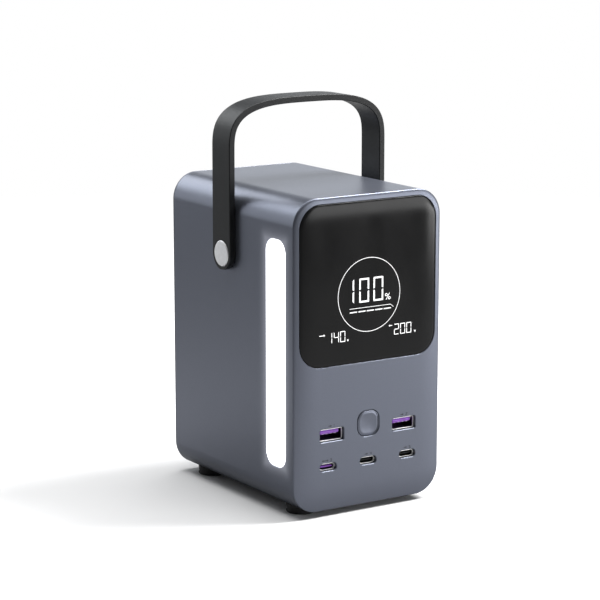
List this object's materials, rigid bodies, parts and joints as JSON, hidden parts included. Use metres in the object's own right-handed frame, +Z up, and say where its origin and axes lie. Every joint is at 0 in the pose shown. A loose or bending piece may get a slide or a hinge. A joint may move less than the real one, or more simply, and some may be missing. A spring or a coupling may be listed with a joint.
{
  "type": "portable power station",
  "caption": "Upright satin box with a black display lens, rows of charging sockets, a power button, a side lamp strip, rubber feet and a swinging carry handle.",
  "frame": {"origin": "centre of the overall footprint, on the surface that the four feet stand on", "axes": "+Z up; the display and the sockets face -Y; the handle turns about an axis along X; the lamp strip is in the -X side"},
  "size_m": [0.0908, 0.113, 0.1947],
  "materials": {
    "graphite_shell": "blue-grey satin coat with a fine metallic look",
    "display_glass": "polished black smoked lens, hard coated",
    "gasket_black": "black adhesive foam",
    "display_white": "white light guide of the display",
    "switch_black": "moulded black",
    "socket_steel": "nickel-plated sheet steel",
    "tongue_purple": "purple moulded insulator",
    "tongue_black": "black moulded insulator",
    "lamp_white": "opal white diffuser",
    "strap_black": "fine satin black",
    "cap_silver": "turned and anodised",
    "washer_black": "acetal",
    "screw_steel": "zinc-plated",
    "foot_rubber": "matt black",
    "cell_wrap": "blue shrink sleeve",
    "holder_black": "moulded black",
    "busbar_nickel": "bright nickel strip",
    "board_green": "green solder mask",
    "lead_black": "black sleeve",
    "lead_red": "red sleeve"
  },
  "bodies": {
    "housing": {"housing_sleeve": "graphite_shell", "front_panel": "graphite_shell", "rear_cover": "graphite_shell", "display_lens": "display_glass", "lens_gasket": "gasket_black", "display_module": "display_white", "button_switch": "switch_black", "usb_a_left_shell": "socket_steel", "usb_a_right_shell": "socket_steel", "usb_c_left_shell": "socket_steel", "usb_c_middle_shell": "socket_steel", "usb_c_right_shell": "socket_steel", "usb_a_left_tongue": "tongue_purple", "usb_a_right_tongue": "tongue_purple", "usb_c_left_tongue": "tongue_purple", "usb_c_middle_tongue": "tongue_black", "usb_c_right_tongue": "tongue_black", "lamp_lens": "lamp_white", "lamp_reflector": "lamp_white", "lamp_board": "lamp_white", "pivot_washer_left": "washer_black", "pivot_washer_right": "washer_black", "pivot_screw_left": "screw_steel", "pivot_screw_right": "screw_steel", "board_screw_left_low": "screw_steel", "board_screw_left_high": "screw_steel", "board_screw_right_low": "screw_steel", "board_screw_right_high": "screw_steel", "housing_screw_front_left": "screw_steel", "housing_screw_front_right": "screw_steel", "housing_screw_rear_left": "screw_steel", "housing_screw_rear_right": "screw_steel", "foot_front_left": "foot_rubber", "foot_front_right": "foot_rubber", "foot_rear_left": "foot_rubber", "foot_rear_right": "foot_rubber", "battery_cell_1": "cell_wrap", "battery_cell_2": "cell_wrap", "battery_cell_3": "cell_wrap", "battery_cell_4": "cell_wrap", "battery_cell_5": "cell_wrap", "battery_cell_6": "cell_wrap", "battery_cell_7": "cell_wrap", "battery_cell_8": "cell_wrap", "cell_holder_front": "holder_black", "cell_holder_rear": "holder_black", "busbar_front_low": "busbar_nickel", "busbar_front_middle": "busbar_nickel", "busbar_front_high": "busbar_nickel", "busbar_rear_low": "busbar_nickel", "busbar_rear_high": "busbar_nickel", "main_board": "board_green", "power_board": "board_green", "battery_lead_negative": "lead_black", "battery_lead_positive": "lead_red"},
    "handle": {"handle_strap": "strap_black", "pivot_cap_left": "cap_silver", "pivot_cap_right": "cap_silver"},
    "button": {"power_button": "graphite_shell", "switch_plunger": "switch_black"}
  },
  "joints": [
    {"name": "handle_swing", "type": "hinge", "parent": "housing", "child": "handle", "pos_m": [0, 0.0037, 0.1203], "axis": [1, 0, 0], "range_deg": [-90, 50]},
    {"name": "power_button_press", "type": "slide", "parent": "housing", "child": "button", "axis": [0, 1, 0], "range_m": [0, 0.0008], "stiffness_N_per_m": 1500, "springref_m": -0.0004}
  ]
}
